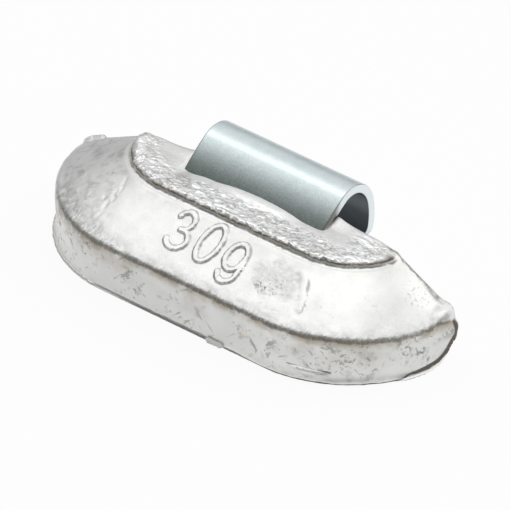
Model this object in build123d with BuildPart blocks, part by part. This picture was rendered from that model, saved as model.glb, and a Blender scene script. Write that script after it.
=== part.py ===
import math
import os

from build123d import *

# Clip-on wheel balance weight of 30 g: a lead body cast around the tang of a bent spring-steel clip.
# X runs along the rim, +Y is the side that meets the rim flange, Z = 0 is the base it stands on.
# All sizes are in millimetres.

# Lead body
crest_half_length = 20.0     # centre to end of the crease where the band meets the shoulder
crest_depth = 10.9           # straight front of that crease, measured from the clip-side datum
crest_straight = 8.2         # half of the straight front; the long corners take up the rest
crest_height = 4.62
base_flare = 0.2             # draft of the band, per side at the base
end_run = 6.35               # how far each sloping end leans in, from the crease to the ledge
ledge_depth = 4.45
ledge_straight = 7.45
ledge_shift = 0.3            # the ledge sits off centre, towards +X
ledge_height = 8.15
lip_height = 0.5             # step around the front of the ledge
lip_draft = 0.45             # how far its foot stands out
crest_round = 0.45
seat_radius = 3.6            # the rim side rolls into the base, as the flange curls
seat_plane = 0.5             # flat rim side, behind the datum
seat_trim = 0.3              # moulded past that side before it is faced
parting_lip = 0.2            # how far the mould's parting lip stands out from the band
parting_height = 0.4
ridge_inset = 0.25           # lead drawn up along the rim side, ending this far short of the ledge
ridge_taper = 1.7            # length of its falling ends
ridge_radius = 1.62
ridge_droop = 0.1            # thinner by this where the ends begin to fall
ridge_tip = 1.0
ridge_back = 0.1
ridge_drop = 1.05
mound_half_length = 5.5      # lead drawn up against the front of the clip
mound_taper = 1.5
mound_radius = 1.53
mound_droop = 0.18
mound_tip = 1.0
mound_forward = 1.4
mound_drop = 1.25
mound_shift = 0.65           # off centre, towards +X

# Spring-steel clip
strip_width = 15.0
strip_thickness = 0.8
hook_radius = 1.95           # inside of the hook
hook_back = 2.55             # hook axis behind the datum
hook_height = 7.75           # hook axis above the base
leg_slope = 40.0             # angle of the front leg to the base, in degrees
leg_length = 9.6             # hook to the end of the buried tang
tail_length = 2.0            # straight part of the rear leg below the hook axis
tail_radius = 4.7
tail_turn = 22.0             # inward curl of the rear leg, in degrees
tail_corner = 1.5
key_hole = 3.0               # the lead keys through these holes in the tang
key_spacing = 6.6
key_from_end = 2.3

os.makedirs("parts", exist_ok=True)

rear_line = seat_plane + seat_trim
seat_axis_y = seat_plane - seat_radius
shoulder_top = ledge_height - lip_height
crest_corner = crest_half_length - crest_straight
ledge_half_length = crest_half_length - end_run
ledge_corner = ledge_half_length - ledge_straight
lip_half_length = ledge_half_length + lip_draft
lip_depth = ledge_depth + lip_draft
lip_corner = lip_half_length - ledge_straight
ridge_half_length = ledge_half_length - ridge_inset
parting_half_length = crest_half_length + base_flare + parting_lip
parting_depth = crest_depth + base_flare + parting_lip
tall = 2 * crest_half_length  # reaches past the whole part
# The origin is under the middle of the part's box, so the clip-side datum stands this far behind it.
datum_y = (parting_depth - hook_back - hook_radius - strip_thickness) / 2
deck = Plane((0, datum_y, 0), x_dir=(1, 0, 0), z_dir=(0, 0, 1))
flank = Plane((0, datum_y, 0), x_dir=(0, 1, 0), z_dir=(1, 0, 0))


def d_outline(half_length, depth, corner):
    """Outline of one level: straight towards the rim, long elliptical corners on the outer side."""
    with BuildSketch() as outline:
        with BuildLine():
            EllipticalCenterArc((corner - half_length, 0), corner, depth, 180, arc_size=90)
            Line((corner - half_length, -depth), (half_length - corner, -depth))
            EllipticalCenterArc((half_length - corner, 0), corner, depth, 270, arc_size=90)
            Polyline((half_length, 0), (half_length, rear_line), (-half_length, rear_line), (-half_length, 0))
        make_face()
    return outline.sketch


def swollen_bar(half_length, taper, radius, droop, tip):
    """Half the lengthwise section of a round bar, thickest in the middle and falling away at its ends."""
    shoulder = half_length - taper
    with BuildSketch() as section:
        with BuildLine():
            ThreePointArc((-shoulder, radius - droop), (0, radius), (shoulder, radius - droop))
            Polyline((shoulder, radius - droop), (half_length, tip), (half_length, 0), (-half_length, 0),
                     (-half_length, tip), (-shoulder, radius - droop))
        make_face()
    return section.sketch


# The strip follows the inside of its own bend: tang and leg, hook, straight tail, curled tail.
slope = math.radians(leg_slope)
hook_start = (hook_back - hook_radius * math.sin(slope), hook_height + hook_radius * math.cos(slope))
leg_run = (math.cos(slope), math.sin(slope))
tang_end = (hook_start[0] - leg_length * leg_run[0], hook_start[1] - leg_length * leg_run[1])
key_y = datum_y + tang_end[0] + key_from_end * leg_run[0]
key_z = tang_end[1] + key_from_end * leg_run[1]
key_plane = Plane((0, key_y, key_z), x_dir=(1, 0, 0), z_dir=(0, -leg_run[1], leg_run[0]))

with BuildPart() as spring_clip:
    with BuildSketch(flank):
        with BuildLine():
            leg = Line(tang_end, hook_start)
            hook = JernArc(leg @ 1, leg % 1, hook_radius, -(90 + leg_slope))
            tail = Line(hook @ 1, (hook @ 1) + tail_length * (hook % 1))
            JernArc(tail @ 1, tail % 1, tail_radius, -tail_turn)
            offset(amount=strip_thickness, side=Side.LEFT)
        make_face()
    extrude(amount=strip_width / 2, both=True)
    # holes through the buried tang
    with BuildSketch(key_plane):
        with Locations((-key_spacing / 2, 0), (key_spacing / 2, 0)):
            Circle(key_hole / 2)
    extrude(amount=strip_thickness * 2, both=True, mode=Mode.SUBTRACT)
    # rounded corners at the free end
    tail_face = spring_clip.faces().filter_by(lambda f: f.center().Y > datum_y + hook_back).sort_by(Axis.Z)[0]
    fillet(tail_face.edges().sort_by(SortBy.LENGTH)[:2], tail_corner)
spring_clip.part.label = "spring_clip"
export_step(spring_clip.part, "parts/spring_clip.step")

# Thin rim that the mould leaves along the base and up both ends of the rim side.
with BuildPart() as parting_rim:
    with BuildSketch(deck):
        add(d_outline(parting_half_length, parting_depth, crest_corner))
    extrude(amount=crest_height)
    with BuildSketch(flank):
        with BuildLine():
            under = CenterArc((seat_axis_y, seat_radius), seat_radius, -90, 90)
            over = CenterArc((seat_axis_y, seat_radius), seat_radius - parting_height, -90, 90)
            Line(under @ 1, over @ 1)
            Polyline(over @ 0, (-tall, parting_height), (-tall, 0), under @ 0)
        make_face()
    extrude(amount=tall, both=True, mode=Mode.INTERSECT)

ridge_plane = Plane((ledge_shift, datum_y + ridge_back, ledge_height - ridge_drop), x_dir=(1, 0, 0),
                    z_dir=(0, -1, 0))
mound_plane = Plane((mound_shift, datum_y - mound_forward, ledge_height - mound_drop), x_dir=(1, 0, 0),
                    z_dir=(0, -1, 0))

with BuildPart() as cast_body:
    # drafted band
    with BuildSketch(deck):
        add(d_outline(crest_half_length + base_flare, crest_depth + base_flare, crest_corner))
    with BuildSketch(deck.offset(crest_height)):
        add(d_outline(crest_half_length, crest_depth, crest_corner))
    loft(ruled=True)
    # sloping shoulder
    with BuildSketch(deck.offset(crest_height)):
        add(d_outline(crest_half_length, crest_depth, crest_corner))
    with BuildSketch(deck.offset(shoulder_top)):
        with Locations((ledge_shift, 0)):
            add(d_outline(lip_half_length, lip_depth, lip_corner))
    loft(ruled=True)
    crest = cast_body.edges().filter_by(lambda e: abs(e.center().Z - crest_height) < 0.001)
    fillet(crest.filter_by(lambda e: e.center().Y < datum_y + rear_line - 0.001), crest_round)
    # ledge with its step
    with BuildSketch(deck.offset(shoulder_top)):
        with Locations((ledge_shift, 0)):
            add(d_outline(lip_half_length, lip_depth, lip_corner))
    with BuildSketch(deck.offset(ledge_height)):
        with Locations((ledge_shift, 0)):
            add(d_outline(ledge_half_length, ledge_depth, ledge_corner))
    loft(ruled=True)
    # lead drawn up along the rim side and in front of the clip
    with BuildSketch(ridge_plane):
        add(swollen_bar(ridge_half_length, ridge_taper, ridge_radius, ridge_droop, ridge_tip))
    revolve(axis=Axis(ridge_plane.origin, (1, 0, 0)))
    with BuildSketch(mound_plane):
        add(swollen_bar(mound_half_length, mound_taper, mound_radius, mound_droop, mound_tip))
    revolve(axis=Axis(mound_plane.origin, (1, 0, 0)))
    # flat rim side, rolling into the base
    with BuildSketch(flank):
        with BuildLine():
            seat = CenterArc((seat_axis_y, seat_radius), seat_radius, -90, 90)
            Polyline(seat @ 1, (seat_plane, tall), (-tall, tall), (-tall, 0), seat @ 0)
        make_face()
    extrude(amount=tall * 2, both=True, mode=Mode.INTERSECT)
    add(parting_rim.part)
    # the tang leaves its own shape in the lead
    add(spring_clip.part, mode=Mode.SUBTRACT)
cast_body.part.label = "cast_body"
export_step(cast_body.part, "parts/cast_body.step")
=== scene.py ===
import math
from functools import reduce

import bmesh
import bpy
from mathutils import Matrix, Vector


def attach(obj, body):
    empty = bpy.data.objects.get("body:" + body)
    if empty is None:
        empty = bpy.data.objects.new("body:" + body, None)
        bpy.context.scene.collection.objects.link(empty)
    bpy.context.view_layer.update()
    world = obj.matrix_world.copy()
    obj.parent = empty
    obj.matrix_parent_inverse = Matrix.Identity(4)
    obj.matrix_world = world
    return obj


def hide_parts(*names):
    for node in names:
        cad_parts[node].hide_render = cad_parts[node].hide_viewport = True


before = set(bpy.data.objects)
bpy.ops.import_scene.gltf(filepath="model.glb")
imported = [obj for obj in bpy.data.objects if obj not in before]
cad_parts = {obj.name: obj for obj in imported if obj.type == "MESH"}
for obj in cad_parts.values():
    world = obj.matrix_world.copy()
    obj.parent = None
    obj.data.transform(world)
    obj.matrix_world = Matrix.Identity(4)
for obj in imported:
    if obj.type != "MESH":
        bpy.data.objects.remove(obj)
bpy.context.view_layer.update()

# Cast body
# One lead-alloy casting, poured round the tang of the clip in a two-part mould and left as it came out:
# a drafted band, a sloping face with the raised mass mark, and a wrinkled ledge where the metal froze last.
mm = 0.001
voxel = 0.17 * mm
# Levels and places in millimetres, as the masks below read them.
crest_level = 4.6            # crease between the band and the sloping face
step_foot = 7.66             # foot of the step below the ledge
soft_level = 7.85            # the lead above this ran on after the rest had set
lip_level = 8.0
ledge_level = 8.15
seat_radius = 3.6            # the underside rolls up into the flat rim side round this
seat_axis_y = -0.1
ridge_y = 3.1                # axis of the lead drawn up along the rim side
ridge_z = 7.1
clip_half_width = 7.5

# The casting is solid lead round solid steel, so the slot that the tang leaves in the solid is plugged here
# up to the line where the clip comes out of the lead. Points are (y, z) in the plane of the bend.
tang_end = Vector((-3.057, 3.073)) * mm
leg_slope = 40
along = Vector((math.cos(math.radians(leg_slope)), math.sin(math.radians(leg_slope))))
across = Vector((-along.y, along.x))
strip_thickness = 0.8 * mm
rim_plane = 3.5 * mm
mound_axis = Vector((1.6, 6.9)) * mm
mound_centre = 0.65 * mm
mound_radius = 1.53 * mm
mound_fall = 11.3            # how fast the mound thins away from its middle, per metre
ridge_axis = Vector((ridge_y, ridge_z)) * mm
ridge_radius = 1.6 * mm
plug_overlap = 0.05          # the plug reaches this far into the lead on every side
plug_half_width = clip_half_width + plug_overlap
plug_steps = 60
plug_sink = 0.02 * mm        # it stops this far short of the lead's surface


def leaves_lead(start, x):
    """How far up the leg a line from start comes out of the ledge, or of the lead drawn up round the clip."""
    exits = [(ledge_level * mm - start.y) / along.y]
    mound = mound_radius - mound_fall * (x - mound_centre) ** 2
    for axis, radius in ((mound_axis, mound), (ridge_axis, ridge_radius)):
        gap = axis - start
        middle = gap.dot(along)
        half = radius ** 2 - (gap.length_squared - middle ** 2)
        if half > 0:
            exits.append(middle + math.sqrt(half))
    return min(max(exits), (rim_plane - start.x) / along.x) - plug_sink


def close_rings(bm, rings):
    """A closed skin over a row of rings, with a cap at each end."""
    for a, b in zip(rings, rings[1:]):
        for i in range(len(a)):
            bm.faces.new((a[i], b[i], b[i - 1], a[i - 1]))
    bm.faces.new(rings[0][::-1])
    bm.faces.new(rings[-1])


def new_piece(name, bm):
    """An object in the scene that holds the mesh."""
    piece = bpy.data.objects.new(name, bpy.data.meshes.new(name))
    bm.to_mesh(piece.data)
    bm.free()
    bpy.context.collection.objects.link(piece)
    return piece


def add_smooth(piece, name, times, group=""):
    smooth = piece.modifiers.new(name, "SMOOTH")
    smooth.vertex_group = group
    smooth.factor = 0.5
    smooth.iterations = times


def settle(piece):
    """Makes the modifiers' result the piece's own mesh."""
    result = bpy.data.meshes.new_from_object(piece.evaluated_get(bpy.context.evaluated_depsgraph_get()))
    piece.modifiers.clear()
    result.name = piece.name
    piece.data = result


bm = bmesh.new()
bm.from_mesh(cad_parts["cast_body"].data)
bmesh.ops.remove_doubles(bm, verts=bm.verts, dist=0.001 * mm)
front = tang_end + across * (strip_thickness + plug_overlap * mm)
under = tang_end - across * plug_overlap * mm
rings = []
for i in range(plug_steps + 1):
    x = (-plug_half_width + 2 * plug_half_width * i / plug_steps) * mm
    corners = (under - along * plug_overlap * mm, under + along * leaves_lead(under, x),
               front + along * leaves_lead(front, x), front - along * plug_overlap * mm)
    rings.append([bm.verts.new((x, c.x, c.y)) for c in corners])
close_rings(bm, rings)
cast = new_piece("cast_lead_body", bm)
remesh = cast.modifiers.new("even_skin", "REMESH")
remesh.mode = "VOXEL"
remesh.voxel_size = voxel
add_smooth(cast, "soft_edges", 2)
settle(cast)

# Lead that crept up round the clip runs into the ledge in soft curves: beside the clip it is drawn up to the
# clip's edges, and a small peak stands at the left tip.
soft_front = 0.2             # y where the lead begins to rise towards the rim side
soft_run = 3.3               # from there to the rim side
ridge_reach = 2.6            # square of the ridge's radius, as smoothed
drawn_up_height = 0.75       # beside the clip, falling off along the ledge
drawn_up_run = 1.6
peak_height = 0.75
hollow_depth = 0.2           # sunk lead at the foot of the clip's left edge


def part_way(value, low, high):
    """0 at low and 1 at high, smooth between; falling where low is the larger."""
    t = min(1, max(0, (value - low) / (high - low)))
    return t * t * (3 - 2 * t)


def swelling(x, y, centre_x, centre_y, spread):
    """A round swelling in plan, 1 at its centre."""
    return math.exp(-((x - centre_x) ** 2 + (y - centre_y) ** 2) / spread)


def weigh(group, vertex, weight):
    if weight > 0:
        group.add([vertex.index], weight, "REPLACE")


soft = cast.vertex_groups.new(name="soft_lead")
for vertex in cast.data.vertices:
    x, y, z = vertex.co / mm
    weigh(soft, vertex, min(1, (z - soft_level) / 0.2, (3.45 - y) / 0.3, (y + 0.6) / 0.5))
    if z > soft_level and y > soft_front:
        top = max(ledge_level, ridge_z + math.sqrt(max(0, ridge_reach - (y - ridge_y) ** 2)))
        beside_clip = math.exp(min(0, clip_half_width - abs(x)) / drawn_up_run)
        drawn_up = (0.12 + drawn_up_height * beside_clip) * ((y - soft_front) / soft_run) ** 2
        peak = peak_height * swelling(x, y, -12.9, 2.7, 1.2)
        lift = (min(z, top) - soft_level) * ((0.3 + drawn_up + peak) / (top - soft_level) - 1)
        hollow = hollow_depth * swelling(x, y, -6.9, 0.9, 1.6)
        vertex.co.z += (lift * part_way(abs(x), 7.2, 7.8) - hollow) * mm

# The parting lip is left only round the right end, below its top, and the sloping faces are even.
worn = cast.vertex_groups.new(name="worn_foot")
even = cast.vertex_groups.new(name="even_face")
for vertex in cast.data.vertices:
    x, y, z = vertex.co / mm
    from_seam = seat_radius - math.hypot(max(0, y - seat_axis_y), seat_radius - z)
    left_or_front = max(part_way(-x, -2.0, 2.5), part_way(-y, 1.8, 2.8))
    along_foot = left_or_front * (part_way(from_seam, 1.7, 1.1) * part_way(z, 5.2, 4.4))
    right_top = (part_way(x, 19.0, 19.8) * part_way(y, 1.8, 2.6)
                 * part_way(z, 2.2, 3.0) * part_way(z, 5.0, 4.4))
    weigh(worn, vertex, max(along_foot, right_top))
    weigh(even, vertex, part_way(z, 4.9, 5.3) * part_way(z, 7.5, 7.2) * part_way(y, 3.2, 2.7))
for group, times in (("soft_lead", 30), ("worn_foot", 40), ("even_face", 60)):
    add_smooth(cast, group, times, group)
settle(cast)
cast.vertex_groups.clear()

# The mass mark, drawn as centre lines on the sloping face: x along the body, and up the slope from the step.
slope_foot = Vector((0, -1.7, 7.75)) * mm
slope_up = Vector((0, 0.893, 0.451))


def on_slope(x, up):
    """The point at that place on the sloping face."""
    return Vector((x * mm, 0, 0)) + slope_foot + slope_up * up * mm


def arc(centre_x, centre_up, radius_x, radius_up, start, end):
    """A stretch of an ellipse on the sloping face, between two angles in degrees."""
    count = max(8, int(abs(end - start) / 6))
    turns = [math.radians(start + (end - start) * i / count) for i in range(count + 1)]
    return [on_slope(centre_x + radius_x * math.cos(t), centre_up + radius_up * math.sin(t)) for t in turns]


mark_lines = [
    arc(-3.35, -1.75, 0.78, 0.88, 165, -90) + arc(-3.1, -3.55, 0.95, 0.93, 90, -160),
    arc(-0.1, -2.62, 0.95, 1.86, 0, 360),
    arc(2.8, -2.75, 0.9, 1.3, 0, 360),
    [on_slope(3.78, -2.9), on_slope(3.82, -4.0)] + arc(2.95, -4.4, 0.87, 0.85, 0, -165),
]


# Marks of use and bits of flash, each a line on the surface.
def run(*points):
    return [Vector(p) * mm for p in points]


gouge_lines = [run((11.2, -7.75, 1.42), (12.3, -7.43, 1.34), (13.5, -6.95, 1.28), (14.7, -6.3, 1.2))]
scuff_lines = [
    run((8.9, -2.95, 7.12), (9.5, -3.4, 6.89), (10.05, -4.2, 6.49), (10.5, -5.0, 6.08), (10.75, -5.7, 5.73)),
]
slash_lines = [
    run((-11.1, -1.85, 7.2), (-11.0, -2.45, 6.98)),
    run((-10.8, -2.7, 6.92), (-10.75, -3.2, 6.7)),
    run((-11.15, -3.1, 6.67), (-11.05, -3.9, 6.33)),
    run((-10.85, -3.7, 6.46), (-10.8, -4.2, 6.24)),
    run((-11.1, -4.25, 6.17), (-11.05, -4.85, 5.9)),
    run((-11.75, -3.9, 6.2), (-11.7, -4.3, 6.02)),
]
flash_lines = [
    run((3.0, -8.2, 0.05), (3.6, -8.25, 0.0), (4.2, -8.2, 0.05)),
    run((-20.0, 3.0, 4.8), (-19.2, 3.3, 5.1)),
    run((-18.9, 3.4, 5.2), (-18.2, 3.45, 5.55)),
]


def guide(name, lines):
    """A wire that the skin's nodes measure their distance from."""
    points, edges = [], []
    for line in lines:
        edges += [(len(points) + i, len(points) + i + 1) for i in range(len(line) - 1)]
        points += line
    wire = bpy.data.objects.new(name, bpy.data.meshes.new(name))
    wire.data.from_pydata(points, edges, [])
    bpy.context.collection.objects.link(wire)
    return wire


guides = {
    "Mass mark": guide("mark", mark_lines),
    "Gouge": guide("gouge", gouge_lines),
    "Scuff edge": guide("scuff", scuff_lines),
    "Slashes": guide("slashes", slash_lines),
    "Flash bits": guide("flash", flash_lines),
}

# Finer faces where the mark and the wrinkles need them.
mark_reach = 0.42 * mm       # on either side of the mark's centre lines
mark_half_length = 5 * mm
mark_back = -1.8 * mm
mark_bottom = 4.9 * mm
mark_top = 7.8 * mm
wrinkle_bottom = 7.45 * mm
wrinkle_back = 3.3 * mm
bm = bmesh.new()
bm.from_mesh(cast.data)
dots = [p for line in mark_lines for p in line]
mark_edges, ledge_edges = set(), set()
for face in bm.faces:
    c = face.calc_center_median()
    if abs(c.x) < mark_half_length and c.y < mark_back and mark_bottom < c.z < mark_top:
        if min((c - d).length_squared for d in dots) < mark_reach ** 2:
            mark_edges.update(face.edges)
    elif c.z > wrinkle_bottom and c.y < wrinkle_back:
        ledge_edges.update(face.edges)
bmesh.ops.subdivide_edges(bm, edges=list(mark_edges), cuts=3, use_grid_fill=True)
bmesh.ops.subdivide_edges(bm, edges=[e for e in ledge_edges if e.is_valid], cuts=1, use_grid_fill=True)
bm.to_mesh(cast.data)
bm.free()


class Field:
    """One socket of a node tree. Arithmetic on it adds Math nodes."""

    def __init__(self, tree, socket=None):
        self.tree = tree
        self.socket = socket

    def node(self, kind, settings=(), inputs=(), out=0):
        """A node of that type, with its settings made first and then the values or links of its sockets."""
        made = self.tree.nodes.new(kind)
        for name, value in dict(settings).items():
            setattr(made, name, value)
        for name, value in dict(inputs).items():
            if isinstance(value, Field):
                self.tree.links.new(value.socket, made.inputs[name])
            else:
                made.inputs[name].default_value = value
        return Field(self.tree, made.outputs[out])

    def out(self, name):
        """Another output of the same node."""
        return Field(self.tree, self.socket.node.outputs[name])

    def to(self, socket):
        self.tree.links.new(self.socket, socket)

    def maths(self, operation, *values):
        return self.node("ShaderNodeMath", {"operation": operation}, enumerate(values))

    def __add__(self, other):
        return self.maths("ADD", self, other)

    def __radd__(self, other):
        return self.maths("ADD", other, self)

    def __sub__(self, other):
        return self.maths("SUBTRACT", self, other)

    def __rsub__(self, other):
        return self.maths("SUBTRACT", other, self)

    def __mul__(self, other):
        return self.maths("MULTIPLY", self, other)

    def __rmul__(self, other):
        return self.maths("MULTIPLY", other, self)

    def __truediv__(self, other):
        return self.maths("DIVIDE", self, other)

    def __abs__(self):
        return self.maths("ABSOLUTE", self)

    def most(self, other):
        return self.maths("MAXIMUM", self, other)

    def ramp(self, low, high):
        """0 below low and 1 above high, smooth between; falling where low is the larger."""
        return self.node("ShaderNodeMapRange", {"interpolation_type": "SMOOTHSTEP"},
                         {"Value": self, "From Min": low, "From Max": high})

    def parts(self):
        """The x, y and z of a position or a direction."""
        x = self.node("ShaderNodeSeparateXYZ", inputs={0: self})
        return x, x.out("Y"), x.out("Z")

    def stretch(self, x, y, z):
        """A position scaled along each axis."""
        return self.node("ShaderNodeVectorMath", {"operation": "MULTIPLY"}, {0: self, 1: (x, y, z)})

    def in_mm(self):
        """A position in millimetres."""
        return self.stretch(1 / mm, 1 / mm, 1 / mm)

    def speckle(self, size, detail=2.0, rough=0.5, twist=0.0):
        """Noise about zero on a position, with features of that size."""
        noise = self.node("ShaderNodeTexNoise", inputs={
            "Vector": self, "Scale": 1 / size, "Detail": detail, "Roughness": rough, "Distortion": twist})
        return noise - 0.5

    def scratches(self, axis, angle, size):
        """Short strokes at that angle on a position, for faces that the axis lies across."""
        turned = self.node("ShaderNodeVectorRotate", {"rotation_type": axis},
                           {"Vector": self, "Angle": math.radians(angle)})
        return turned.stretch(0.35, 1.4, 1.4).speckle(size, 2.0, 0.5, 0.4)

    def painted(self, name):
        """A value that the mesh carries."""
        return self.node("ShaderNodeAttribute", {"attribute_name": name}, out="Fac")

    def tint(self, under, over):
        """One colour laid over another through this mask."""
        return self.node("ShaderNodeMix", {"data_type": "RGBA"}, {0: self, 6: under, 7: over}, 2)


def square_sum(a, b):
    return a * a + b * b


def above_seam(y, z):
    """Height over the underside, which curves up into the flat rim side."""
    spread = square_sum((y - seat_axis_y).most(0.0), seat_radius - z)
    return seat_radius - spread.maths("SQRT", spread)


def drooping(x):
    """How far the crest falls towards the right end."""
    return (x.ramp(8.0, 14.0) + x.ramp(16.0, 20.0)) * 0.13 + x.ramp(14.5, 17.5) * 0.2


# The skin: unevenness of the mould and of the metal, and the marks of use, as a height along the normal.
skin_sizes = {
    "Mark height": 0.15,
    "Mark half width": 0.24,
    "Wrinkle height": 0.14,
    "Dent depth": 0.10,
    "Gouge depth": 0.12,
    "Flash height": 0.12,
    "Flash bit height": 0.32,
    "Worn foot": 0.32,
}
tree = bpy.data.node_groups.new("as_cast_skin", "GeometryNodeTree")


def new_input(name, kind):
    return tree.interface.new_socket(name, in_out="INPUT", socket_type=kind)


new_input("Geometry", "NodeSocketGeometry")
tree.interface.new_socket("Geometry", in_out="OUTPUT", socket_type="NodeSocketGeometry")
for name, value in skin_sizes.items():
    new_input(name, "NodeSocketFloat").default_value = value
for name in guides:
    new_input(name, "NodeSocketObject")
new_input("Finish", "NodeSocketMaterial")
given = Field(tree).node("NodeGroupInput", out="Geometry")


def from_wire(name):
    """Distance in millimetres from one of the guide wires."""
    wire = given.node("GeometryNodeObjectInfo", inputs={"Object": given.out(name)}, out="Geometry")
    near = given.node("GeometryNodeProximity", {"target_element": "EDGES"}, {"Target": wire}, "Distance")
    return near / mm


at = given.node("GeometryNodeInputPosition").in_mm()
normal = given.node("GeometryNodeInputNormal")
x, y, z = at.parts()
_, facing_back, facing_up = normal.parts()
mark = from_wire("Mass mark")
gouge = from_wire("Gouge")
scuff = from_wire("Scuff edge")
slash = from_wire("Slashes")
bits = from_wire("Flash bits")

# Regions of the casting, from the whole sides down to single spots. The sides that carry no marks are plain,
# calm is the smoother lead beside the clip, and rim is the ledge's rounded front edge. The patch was rubbed,
# the burr is the lump at the right end of the crest, and the tip is the lobe at the ledge's left end.
rim_side = y.ramp(3.0, 3.4)
base_side = facing_up.ramp(-0.3, -0.8)
open_side = (1 - rim_side) * (1 - base_side)
plain = base_side.most(facing_back.ramp(0.25, 0.5))
ledge = z.ramp(soft_level, 8.05) * facing_up.ramp(0.3, 0.6) * (1 - rim_side)
left_tip = (x.ramp(-8.0, -10.5) * y.ramp(2.2, 1.2)).most(x.ramp(-10.4, -11.6))
calm = y.ramp(0.3, 1.2).most(z.ramp(8.3, 8.45)) * x.ramp(11.5, 9.0) * (1 - 0.75 * left_tip)
rim = facing_up.ramp(0.3, 0.5) * facing_up.ramp(0.97, 0.85) * z.ramp(7.8, 7.95) * y.ramp(0.5, -0.5)
crest = abs(z - crest_level).ramp(0.9, 0.1) * open_side
lip = abs(z - lip_level).ramp(0.45, 0.1) * y.ramp(2.6, 1.8) * (1 - calm)
groove = abs(z - step_foot).ramp(0.22, 0.02) * y.ramp(2.6, 1.8)
seam = above_seam(y, z)
flash = seam.ramp(0.8, 0.35) * z.ramp(3.8, 3.4) * (1 - base_side)
flash = flash * (x.ramp(-8.0, -2.0) * x.ramp(19.0, 14.0) * 0.8 + 0.2)
foot = seam.ramp(4.5, -0.5) * x.ramp(10.0, 2.0) * z.ramp(4.3, 3.0)
patch = square_sum((x - 7.4) / 3.0, (y + 4.5) / 1.8) + at.speckle(1.1, 4.0, 0.6) * 2.2
patch = patch.ramp(1.1, 0.2) * z.ramp(5.0, 5.4) * z.ramp(7.6, 7.3)
blotch = x.ramp(-8.5, -11.0) * z.ramp(4.7, 5.0) * z.ramp(6.3, 5.4) * open_side
burr = y.ramp(1.2, 3.3) * x.ramp(18.0, 19.6) * z.ramp(1.0, 3.4) * z.ramp(5.6, 4.6)
tip = square_sum(x + 13.2, y - 2.7).ramp(1.1, 0.1) * z.ramp(7.6, 7.9)

# What each of them adds to the height or takes from it, in millimetres.
drawn_out = at.stretch(0.4, 1.0, 1.0)
fold = abs(drawn_out.speckle(0.62, 2.0, 0.55, 1.4))
wrinkles = fold * 2.4 - 0.4 + drawn_out.speckle(0.3, 1.0) * 0.4
wrinkles = ledge * (1 - 0.92 * calm) * wrinkles * (x.ramp(-6.0, -9.0) * 0.4 + 1)
ragged_rim = rim * at.speckle(0.5) * 1.2
dents = (crest * (at.speckle(0.8) * 1.1 - 0.1)
         + lip * at.speckle(0.7) * 2.6
         + patch * (at.speckle(0.5) * 0.6 - 0.2)
         + blotch * at.speckle(0.55, 2.0, 0.6) * 1.2)
ragged_mark = mark + at.speckle(0.35, 2.0) * 0.2 + at.speckle(1.2, 0.0) * 0.15
raised_mark = (ragged_mark - given.out("Mark half width")).ramp(0.08, -0.09)
cut = (gouge + at.speckle(0.3, 1.0) * 0.1 + abs(x - 13.0).ramp(0.6, 2.3) * 0.25).ramp(0.34, 0.05)
cut = cut * (1.55 - 0.06 * (x - 10) - z).ramp(-0.1, 0.1)
flash_bits = (bits + at.speckle(0.5, 1.0) * 0.3).ramp(0.55, 0.05) * (z.ramp(1.2, 0.8) * 0.9 + 1)
height = at.speckle(6.0, 1.0) * 0.05 * (1 - ledge) + at.speckle(1.1) * 0.02
height = height + (wrinkles + ragged_rim) * given.out("Wrinkle height")
height = height + dents * given.out("Dent depth")
height = height + raised_mark * given.out("Mark height")
height = height + flash * at.speckle(1.3) * 1.6 * given.out("Flash height")
height = height + flash_bits * given.out("Flash bit height")
height = height + burr * (at.speckle(0.9) * 0.2 + 0.3) + tip * 0.18
height = height + (scuff + at.speckle(0.5, 2.0) * 0.5).ramp(0.42, 0.15) * 0.035
height = height - slash.ramp(0.15, 0.04) * 0.045 - groove * 0.07
height = height - cut * given.out("Gouge depth") - foot * given.out("Worn foot")
height = height * (1 - base_side) * mm
droop = drooping(x) * abs(z - crest_level).ramp(2.4, 0.2) * open_side * (1 - burr) * mm
down = given.node("ShaderNodeCombineXYZ", inputs={"Z": 0 - droop})
offset = given.node("ShaderNodeVectorMath", {"operation": "MULTIPLY_ADD"}, {0: normal, 1: height, 2: down})
moved = given.node("GeometryNodeSetPosition", inputs={"Geometry": given, "Offset": offset})
# Nothing goes below the table.
place = given.node("GeometryNodeInputPosition")
level = place.node("ShaderNodeVectorMath", {"operation": "MAXIMUM"}, {0: place, 1: (-1, -1, 0)})
moved = given.node("GeometryNodeSetPosition", inputs={"Geometry": moved, "Position": level})
# The mesh carries what the finish has to follow.
carried = {
    "mark": mark, "gouge": gouge, "slash": slash, "patch": patch, "scuff": scuff, "bits": bits, "fold": fold,
    "rim": rim, "plain": plain, "flat": ledge, "ledge": ledge * (1 - 0.85 * calm),
}
for name, value in carried.items():
    moved = given.node("GeometryNodeStoreNamedAttribute", {"data_type": "FLOAT", "domain": "POINT"},
                       {"Geometry": moved, "Name": name, "Value": value})
moved = given.node("GeometryNodeSetShadeSmooth", inputs={"Geometry": moved, "Shade Smooth": True})
moved = given.node("GeometryNodeRealizeInstances", inputs={"Geometry": moved})
moved = given.node("GeometryNodeSetMaterial", inputs={"Geometry": moved, "Material": given.out("Finish")})
moved.to(tree.nodes.new("NodeGroupOutput").inputs["Geometry"])

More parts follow.
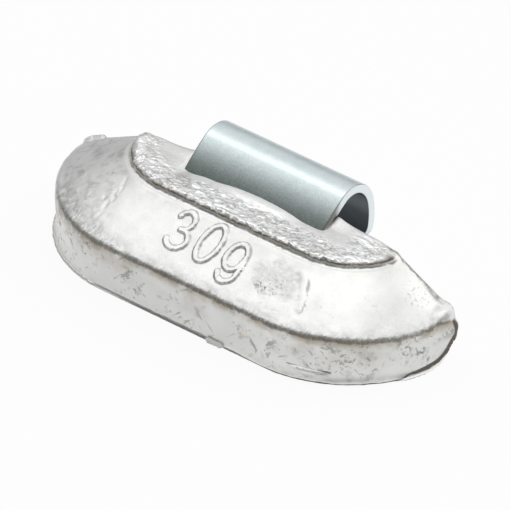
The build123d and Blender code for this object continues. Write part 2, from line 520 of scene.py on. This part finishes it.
# Bright lead, with grey-brown tarnish on the crest, painted shade in the hollows of the wrinkles and under
# the lip, tan stains beside them, dark pits on the band and a painted sheen on the ledge.
dull_lead = (0.71, 0.71, 0.695, 1)
bright_lead = (0.78, 0.78, 0.765, 1)
sheen_white = (0.92, 0.92, 0.92, 1)
bare_lead = (0.97, 0.97, 0.96, 1)
tan_stain = (0.45, 0.39, 0.305, 1)
grey_tarnish = (0.27, 0.27, 0.265, 1)
brown_tarnish = (0.11, 0.087, 0.062, 1)
lead = bpy.data.materials.new("cast_lead")
lead.use_nodes = True
shader = lead.node_tree.nodes["Principled BSDF"]
at = Field(lead.node_tree).node("ShaderNodeTexCoord", out="Object").in_mm()
x, y, z = at.parts()
outer_side = y.ramp(3.35, 3.0)
over_crest = z - (crest_level - drooping(x))
on_band = over_crest.ramp(-0.1, -0.4) * z.ramp(0.3, 0.6) * outer_side
on_face = over_crest.ramp(0.2, 0.6) * z.ramp(7.6, 7.3) * outer_side
on_ledge = at.painted("ledge")
right_end = x.ramp(14.0, 16.0)

# The crest: a brown line in the crease, a tan stain below it and grey rubs above it, blurred at the left.
rise = over_crest + at.stretch(0.6, 0.6, 0.6).speckle(0.2, 3.0, 0.65) * 0.4
rise = rise + at.speckle(0.9) * 0.25 + at.speckle(2.2) * 0.3
flecks = at.stretch(1.0, 0.5, 0.5).speckle(0.22, 3.0, 0.65)
on_crest = outer_side * x.ramp(-17.5, -14.0)
blurred = x.ramp(-5.0, -12.0)
crest_dark = rise.ramp(-0.32, -0.16) * rise.ramp(0.18, 0.0) * at.speckle(0.9, 4.0, 0.65).ramp(-0.22, 0.06)
crest_dark = crest_dark * on_crest * (1 - blurred * 0.2)
crest_grey = (rise + blurred * 0.3).ramp(-0.3, -0.1) * (rise + flecks * 1.5 - blurred * 0.4).ramp(0.75, 0.1)
crest_grey = crest_grey * on_crest * (flecks.ramp(-0.05, 0.12) * 0.7 + 0.3)
crest_tan = (rise + blurred * 0.3).ramp(-1.1, -0.2) * rise.ramp(0.15, -0.1) * on_crest
crest_tan = crest_tan * at.speckle(1.3, 3.0).ramp(-0.22, 0.12)
crest_flecks = abs(rise - 0.28).ramp(0.32, 0.15) * flecks.ramp(-0.1, -0.2) * on_crest
crest_worn = abs(rise - 0.2).ramp(0.9, 0.1) * at.speckle(0.5, 3.0, 0.6).ramp(-0.12, 0.12)
crest_worn = crest_worn * x.ramp(-12.0, -14.5) * x.ramp(-18.0, -16.0)

# The step below the ledge: a dark line of painted shade under the lip, a tan stain below that and a thin line
# of painted shade at the foot.
step = z + at.speckle(0.6) * 0.2 + at.speckle(1.7) * 0.15
on_step = y.ramp(3.0, 2.4) * (x.ramp(-14.0, -10.0) * 0.2 + 0.8) * (1 - at.painted("flat"))
lip_shade = step.ramp(7.76, 7.86) * step.ramp(8.14, 8.06) * on_step * at.speckle(0.7, 3.0).ramp(-0.4, -0.05)
foot_line_shade = step.ramp(7.56, 7.62) * step.ramp(7.74, 7.66) * on_step * at.speckle(0.8).ramp(-0.2, 0.05)
lip_tan = step.ramp(7.62, 7.76) * step.ramp(7.98, 7.88) * on_step * at.speckle(0.5, 4.0, 0.7).ramp(-0.2, 0.2)
# Painted shade in the hollows between the ledge's wrinkles.
crease_shade = at.painted("fold").ramp(0.07, 0.0) * on_ledge
rim_flecks = at.painted("rim") * at.speckle(0.35, 2.0).ramp(0.0, 0.15)

# The parting seam round the foot as a line of painted shade, with a painted reflection on its lip at the
# right end, and the edges of the rim side.
seam = above_seam(y, z)
seam_width = right_end * y.ramp(-2.0, 0.6) * 0.25 + 0.15
seam_foot = right_end * y.ramp(-2.6, -1.4) * (0.27 - z.ramp(0.5, 1.2) * 0.27) + 0.13
seam_shade = abs(seam - seam_foot - seam_width * 0.5 + at.speckle(0.8) * 0.14) / seam_width
seam_shade = seam_shade.ramp(0.62, 0.35) * z.ramp(4.5, 4.1)
seam_shade = seam_shade * x.ramp(-9.0, -4.0) * (x.ramp(6.0, 12.0) * 0.25 + 0.75)
lip_painted_reflection = seam.ramp(0.36, 0.28) * seam.ramp(0.08, 0.16) * right_end * y.ramp(-2.6, -1.8) * z.ramp(1.2, 0.8)
lip_edge = seam.ramp(0.16, 0.08) * right_end * y.ramp(-3.4, -2.4) * z.ramp(1.6, 1.2)
outer_edge = (y + at.speckle(0.5, 3.0, 0.6) * 0.5).ramp(3.05, 3.3) * z.ramp(4.8, 5.2) * y.ramp(3.6, 3.45)
right_edge = outer_edge * x.ramp(12.5, 13.5) * at.speckle(0.7).ramp(-0.3, 0.05)
left_edge = outer_edge * x.ramp(-12.5, -13.5)

# The band: pits, strokes and smudges in clusters, flakes, stains, and the gouge near the right end.
clusters = at.speckle(2.4).ramp(-0.13, 0.1) * on_band
pits = at.speckle(0.75, 3.0, 0.6, 0.8).ramp(0.12, 0.155) * clusters
strokes = at.scratches("Y_AXIS", 35, 0.7).ramp(0.12, 0.17)
strokes = strokes.most(at.scratches("Y_AXIS", -50, 0.6).ramp(0.14, 0.19)) * clusters
smudges = at.speckle(1.0, 3.0, 0.6).ramp(0.0, 0.2) * clusters
flakes = at.stretch(0.8, 1.0, 1.0).speckle(0.9, 2.0, 0.5, 0.6).ramp(0.17, 0.2) * on_band
stains = at.speckle(2.6, 3.0).ramp(-0.1, 0.2) * z.ramp(1.0, 3.6) * on_band
dull_middle = x.ramp(-13.0, -8.0) * x.ramp(9.0, 4.0) * on_band
cut_line = (at.painted("gouge") + at.speckle(0.3, 1.0) * 0.08).ramp(0.15, 0.06)
cut_face = at.painted("gouge") + at.speckle(0.3, 1.0) * 0.15 + abs(x - 12.9).ramp(0.3, 1.8) * 0.4
cut_face = cut_face.ramp(0.52, 0.42) * (1.47 - 0.06 * (x - 10) - z).ramp(0.0, 0.08)

# The sloping face: rubs, specks and pocks, painted shade along the mark's edges, and the rubbed patch with
# its scuff, with painted shade along the scuff's right edge.
rubs = at.scratches("Z_AXIS", 60, 0.45).ramp(0.12, 0.2)
rubs = rubs.most(at.scratches("Z_AXIS", -25, 0.4).ramp(0.14, 0.22))
rubs = rubs * at.speckle(2.6).ramp(-0.05, 0.2) * on_face
specks = at.speckle(0.3, 4.0, 0.7).ramp(0.04, 0.2) * (at.speckle(1.8).ramp(-0.2, 0.15) * 0.7 + 0.3) * on_face
pocks = (square_sum(x - 17.4, (y - 1.8) / 1.2) + at.speckle(0.7) * 1.5).ramp(1.2, 0.5)
pocks = pocks * at.speckle(0.28, 3.0, 0.65).ramp(0.04, 0.14) * on_face
blotches = at.speckle(1.1, 4.0, 0.65).ramp(-0.05, 0.25) * x.ramp(-9.0, -13.0) * on_face
warm = z.ramp(6.7, 7.5) * on_face * (at.speckle(1.2).ramp(-0.2, 0.2) * 0.7 + 0.3)
mark_edge_shade = abs(at.painted("mark") + at.speckle(0.3) * 0.16 - 0.28).ramp(0.12, 0.03)
mark_edge_shade = mark_edge_shade * at.speckle(0.6, 3.0).ramp(-0.1, 0.15)
ragged_scuff = at.painted("scuff") + at.speckle(0.5, 2.0) * 0.5
scuff_face = ragged_scuff.ramp(0.34, 0.2)
right_of_scuff = (x - 8.9 + (y + 2.95) * 0.67).ramp(0.0, 0.12)
scuff_edge_shade = abs(ragged_scuff - 0.36).ramp(0.16, 0.04) * right_of_scuff
scuff_edge_shade = scuff_edge_shade * at.speckle(0.7).ramp(-0.15, 0.1) * y.ramp(-2.9, -3.4)
smear = at.painted("patch") * (at.speckle(0.3, 5.0, 0.75).ramp(-0.15, 0.2) * 0.7 + 0.3) * (1 - scuff_face)
star_rays = at.scratches("Z_AXIS", 15, 0.36).ramp(0.09, 0.15)
star_rays = star_rays.most(at.scratches("Z_AXIS", 60, 0.32).ramp(0.1, 0.16))
star = (square_sum((x - 6.9) / 1.5, (y + 5.1) / 1.1) + at.speckle(0.8) * 1.5).ramp(1.2, 0.3)
star = star * z.ramp(4.9, 5.2) * star_rays

# Bright spots: slashes, bits of flash, the lump at the right end, and a painted highlight on the lead beside
# the clip.
slashes = at.painted("slash").ramp(0.11, 0.06)
flash_bit = at.painted("bits").ramp(0.55, 0.4)
at_foot = z.ramp(0.9, 0.7)
chip_edge = abs(at.painted("bits") - 0.42).ramp(0.12, 0.04) * at_foot
lump = y.ramp(2.6, 2.9) * x.ramp(18.3, 18.8) * z.ramp(3.9, 4.2) * z.ramp(5.4, 5.2)
lump = lump * at.speckle(0.4).ramp(0.15, 0.1)
hook_mouth = (square_sum(x - 8.5, y - 3.2) + at.speckle(0.5) * 0.6).ramp(1.1, 0.4) * z.ramp(8.3, 8.5)
clip_left_highlight = abs(x + 7.8).ramp(0.3, 0.1) * y.ramp(0.8, 1.6) * z.ramp(7.9, 8.1)


def strongest(*layers):
    """The most of several masks, each at its own strength."""
    return reduce(Field.most, [mask * strength for mask, strength in layers])


# The rim side and the base are left plain.
marked = 1 - at.painted("plain")
dark = marked * strongest(
    (crest_dark, 0.5), (lip_shade, 0.95), (foot_line_shade, 0.65), (crease_shade, 0.5),
    (seam_shade, 0.9), (lip_edge, 0.7), (right_edge, 0.5), (chip_edge, 0.6),
    (pits, 0.4), (cut_line, 0.8), (scuff_edge_shade, 0.36), (star, 0.5),
    (mark_edge_shade, x.ramp(-3.0, 2.5) * 0.15 + 0.25))
grey = marked * strongest(
    (crest_grey, 0.62), (crest_worn, 0.6), (left_edge, 0.4), (strokes, 0.7), (smudges, 0.5), (flakes, 0.5),
    (dull_middle, 0.13), (smear, 0.5), (blotches, 0.6), (specks, 0.16), (pocks, 0.4),
    (rubs, x.ramp(9.0, 12.0) * 0.16 + 0.28))
tan = marked * strongest(
    (crest_tan, 0.85), (lip_tan, 0.95), (stains, 0.4), (right_edge, 0.6), (warm, 0.12))
bare = marked * strongest(
    (slashes, 1.0), (scuff_face, 0.35), (flash_bit * z.ramp(4.6, 4.9), 0.6), (flash_bit * at_foot, 1.0),
    (lump, 1.0), (hook_mouth, 0.8), (clip_left_highlight, 0.7), (crest_flecks, 0.75), (rim_flecks, 0.6))
# Fresh lead in the gouge, and the painted reflection on the lip at the right end.
fresh_cut_and_reflection = marked * (cut_face * (1 - cut_line)).most(lip_painted_reflection)
# A painted sheen: the ledge and the mound in front of the clip are painted lighter, more so towards the right
# end.
ledge_painted_sheen = on_ledge.most(at.painted("flat") * abs(x).ramp(8.0, 6.5)) * (x.ramp(8.0, 11.0) * 0.3 + 0.5)
colour = at.speckle(2.0, 3.0).ramp(-0.3, 0.3).tint(dull_lead, bright_lead)
colour = ledge_painted_sheen.tint(colour, sheen_white)
colour = tan.tint(colour, tan_stain)
colour = grey.tint(colour, grey_tarnish)
colour = dark.tint(colour, brown_tarnish)
colour = bare.most(fresh_cut_and_reflection).tint(colour, bare_lead)
colour.to(shader.inputs["Base Color"])
roughness = at.speckle(1.2, 3.0) * 0.10 + 0.42 - on_ledge * 0.06 + dark * 0.25 + tan * 0.1
roughness.to(shader.inputs["Roughness"])
metallic = 1 - dark * 0.5 - tan * 0.3 - bare * 0.8
metallic.to(shader.inputs["Metallic"])
grain = at.speckle(0.15) * 0.25 + on_ledge * at.stretch(0.5, 1.0, 1.0).speckle(0.25, 2.0, 0.6, 1.2) * 0.9
grain = at.node("ShaderNodeBump", inputs={"Strength": 0.4, "Distance": 0.08 * mm, "Height": grain})
grain.to(shader.inputs["Normal"])

skin = cast.modifiers.new("as_cast_skin", "NODES")
skin.node_group = tree
for item in tree.interface.items_tree:
    if item.in_out == "INPUT" and item.name in guides:
        skin[item.identifier] = guides[item.name]
    elif item.in_out == "INPUT" and item.name == "Finish":
        skin[item.identifier] = lead
settle(cast)
for wire in guides.values():
    bpy.data.objects.remove(wire)
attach(cast, "root")
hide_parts("cast_body")

# Spring clip
# A strip of spring steel, blanked, bent over a mandrel into the hook and zinc plated. Its front leg runs
# down into the lead as the tang, and its free rear leg curls in to grip the rim flange.
half_width = clip_half_width * mm
buried_leg = 4.6 * mm
free_leg = 5.29 * mm
leg_bow = 8                  # degrees off the leg's slope at each end of its bow
hook_radius = 1.86 * mm
hook_turn = 77
rear_radius = 2.6 * mm
rear_turn = 34
tail_length = 3.9 * mm
tail_turn = 37
tail_corner = 1.5 * mm
edge_round = 0.09 * mm
edge_margin = 0.15 * mm      # the flats end this far from the rounded edges
# Each stretch of the strip: its length, how far it turns, and how far it leans out first.
stretches = (
    (buried_leg, 0, 0),
    (free_leg, 2 * leg_bow, leg_bow),
    (math.radians(hook_turn) * hook_radius, hook_turn, 0),
    (math.radians(rear_turn) * rear_radius, rear_turn, 0),
    (tail_length, tail_turn, 0),
)
stations = []
point = tang_end.copy()
heading = float(leg_slope)
travelled = 0.0
for length, turn, lean in stretches:
    count = 48 if turn else 16
    chord = length / count
    if turn:
        chord = 2 * (length / math.radians(turn)) * math.sin(math.radians(turn / count / 2))
    heading += lean
    for i in range(count):
        stations.append((point.copy(), heading, travelled))
        middle = math.radians(heading - turn / count / 2)
        point += chord * Vector((math.cos(middle), math.sin(middle)))
        heading -= turn / count
        travelled += length / count
stations.append((point.copy(), heading, travelled))

bm = bmesh.new()
layer = bm.verts.layers.float.new("depth")
rings = []
for point, heading, gone in stations:
    out = Vector((-math.sin(math.radians(heading)), math.cos(math.radians(heading))))
    left = travelled - gone
    half = half_width
    if left < tail_corner:
        half -= tail_corner - math.sqrt(tail_corner ** 2 - (tail_corner - left) ** 2)
    end = max(0.0, edge_round - min(gone, left))
    pinch = edge_round - math.sqrt(edge_round ** 2 - end ** 2)
    flat = half - edge_round - edge_margin
    section = [(flat, 0.0)]
    for side, upper, first in ((1, False, -90), (1, True, 0), (-1, True, 90), (-1, False, 180)):
        centre_depth = strip_thickness - edge_round if upper else edge_round
        centre = Vector((side * (half - edge_round), centre_depth))
        for turn in (0, 30, 60, 90):
            t = math.radians(first + turn)
            section.append(centre + edge_round * Vector((math.cos(t), math.sin(t))))
        if side == 1 and upper:
            section += [(flat, strip_thickness), (-flat, strip_thickness)]
    section.append((-flat, 0.0))
    ring = []
    for sideways, through in section:
        place = point + out * min(max(through, pinch), strip_thickness - pinch)
        ring.append(bm.verts.new((sideways, place.x, place.y)))
        ring[-1][layer] = through / strip_thickness
    rings.append(ring)
close_rings(bm, rings)
bmesh.ops.recalc_face_normals(bm, faces=bm.faces)
for face in bm.faces:
    face.smooth = True
clip = new_piece("zinc_spring_clip", bm)

# Bright zinc with a faint blue passivation, satin from the rolled strip; the inner face is painted dark as
# shade, with a lighter painted reflection across its middle, and the leg is painted darker towards the lead
# as shade.
grey_zinc = (0.65, 0.725, 0.735, 1)
bright_zinc = (0.73, 0.80, 0.815, 1)
leg_painted_shade = (0.195, 0.232, 0.215, 1)
edge_painted_shadow = (0.26, 0.25, 0.23, 1)
edge_painted_light = (0.80, 0.86, 0.88, 1)
edge_shade = (0.2, 0.21, 0.215, 1)
inside_painted_shade = (0.048, 0.057, 0.067, 1)
inside_painted_reflection = (0.085, 0.098, 0.11, 1)
zinc = bpy.data.materials.new("zinc_plate")
zinc.use_nodes = True
shader = zinc.node_tree.nodes["Principled BSDF"]
at = Field(zinc.node_tree).node("ShaderNodeTexCoord", out="Object").in_mm()
x, y, z = at.parts()
from_middle = abs(x)
depth = at.painted("depth")
cloud = at.speckle(0.9, 4.0, 0.6)
plate = cloud.ramp(-0.25, 0.25).tint(grey_zinc, bright_zinc)
# Painted shade: the leg darkens towards the lead.
plate = (y.ramp(4.4, 1.2) * 0.88 + at.speckle(0.15, 2.0) * 0.5).tint(plate, leg_painted_shade)
# The strip's cut edges: pale towards the back as a painted reflection and dark near the lead as a painted
# shadow, with a thin line of painted shade along them.
edge = (y + cloud * 1.2).ramp(3.0, 4.2).tint(edge_painted_shadow, edge_painted_light)
plate = from_middle.ramp(7.4, 7.47).tint(plate, edge)
edge_line = from_middle.ramp(7.38, 7.42) * from_middle.ramp(7.49, 7.46) * depth.ramp(0.86, 0.95)
plate = (edge_line * 0.7).tint(plate, edge_shade)
# Painted shade on the inner face, lighter across the middle as a painted reflection.
inside = (depth - y.ramp(3.7, 2.9) * 0.3).ramp(0.07, 0.0)
inside_painted_colour = (abs(z - 7.3) + cloud * 0.8).ramp(1.0, 0.1).tint(inside_painted_shade, inside_painted_reflection)
(inside * 0.95).tint(plate, inside_painted_colour).to(shader.inputs["Base Color"])
roughness = at.stretch(0.25, 1, 1).speckle(0.12, 3.0) * 0.10 + cloud * 0.08 + 0.38
roughness.to(shader.inputs["Roughness"])
shader.inputs["Metallic"].default_value = 1.0
rolled = at.stretch(0.3, 1, 1).speckle(0.10, 2.0)
rolled = at.node("ShaderNodeBump", inputs={"Strength": 0.12, "Distance": 0.02 * mm, "Height": rolled})
rolled.to(shader.inputs["Normal"])
clip.data.materials.append(zinc)
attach(clip, "root")
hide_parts("spring_clip")

# Studio
# A white table under one wide soft light from overhead and a smaller one behind, in a plain grey room.
bpy.ops.mesh.primitive_plane_add(size=3)
table = bpy.context.object
table.name = "table"
white = bpy.data.materials.new("white_table")
white.use_nodes = True
white.node_tree.nodes.clear()
base = Field(white.node_tree)
path = base.node("ShaderNodeLightPath", out="Is Camera Ray")
seen = path.most(path.out("Is Glossy Ray")).most(path.out("Is Transmission Ray")) * 0.92
paint = base.node("ShaderNodeBsdfDiffuse", inputs={"Color": (0.92, 0.92, 0.92, 1)})
glow = base.node("ShaderNodeEmission", inputs={"Color": (1, 1, 1, 1), "Strength": 1.0})
surface = base.node("ShaderNodeMixShader", inputs={0: seen, 1: paint, 2: glow})
surface.to(white.node_tree.nodes.new("ShaderNodeOutputMaterial").inputs["Surface"])
table.data.materials.append(white)

# The room is dark in front and low down at the left, and pale at the right and overhead.
dark_front = (0.26, 0.27, 0.265, 1)
dark_left = (0.21, 0.22, 0.225, 1)
pale_right = (0.66, 0.67, 0.67, 1)
pale_ceiling = (0.86, 0.865, 0.87, 1)
room = bpy.data.worlds.new("grey_room")
room.use_nodes = True
to_right, to_back, to_top = Field(room.node_tree).node("ShaderNodeTexCoord", out="Generated").parts()
wall = to_right.ramp(0.2, 0.7).tint(dark_left, pale_right)
wall = to_top.ramp(0.0, 0.5).tint(wall, pale_ceiling)
wall = to_back.ramp(-0.35, 0.25).tint(dark_front, wall)
wall.to(room.node_tree.nodes["Background"].inputs["Color"])
bpy.context.scene.world = room


def softbox(name, width, length, brightness, place):
    """A rectangular area light that shines straight down until it is turned."""
    lamp = bpy.data.objects.new(name, bpy.data.lights.new(name, "AREA"))
    lamp.data.shape = "RECTANGLE"
    lamp.data.size = width
    lamp.data.size_y = length
    lamp.data.energy = brightness * math.pi * lamp.data.size * lamp.data.size_y
    lamp.location = place
    bpy.context.collection.objects.link(lamp)
    return lamp


softbox("overhead_softbox", width=0.74, length=0.27, brightness=1.38, place=(-0.16, -0.04, 0.50))
rear = softbox("rear_softbox", width=0.40, length=0.40, brightness=1.05, place=(0.27, 0.42, 0.44))
rear.rotation_euler = Vector(rear.location).to_track_quat("Z", "Y").to_euler()

# Camera: long lens, from the right of the sloping face and above it.
azimuth = math.radians(39.5)
elevation = math.radians(35)
distance = 1.0
look_at = Vector((-1.14, 3.05, 1.09)) * mm
sensor_width = 36
picture_width = 510          # pixels
pixels_per_mm = 11.84
to_camera = Vector((math.sin(azimuth) * math.cos(elevation), -math.cos(azimuth) * math.cos(elevation),
                    math.sin(elevation)))
camera = bpy.data.objects.new("camera", bpy.data.cameras.new("camera"))
camera.data.sensor_width = sensor_width
camera.data.lens = sensor_width * pixels_per_mm * (distance / mm) / picture_width
camera.data.clip_start = 0.01
camera.location = look_at + to_camera * distance
camera.rotation_euler = to_camera.to_track_quat("Z", "Y").to_euler()
bpy.context.collection.objects.link(camera)
bpy.context.scene.camera = camera
bpy.context.scene.view_settings.view_transform = "Standard"
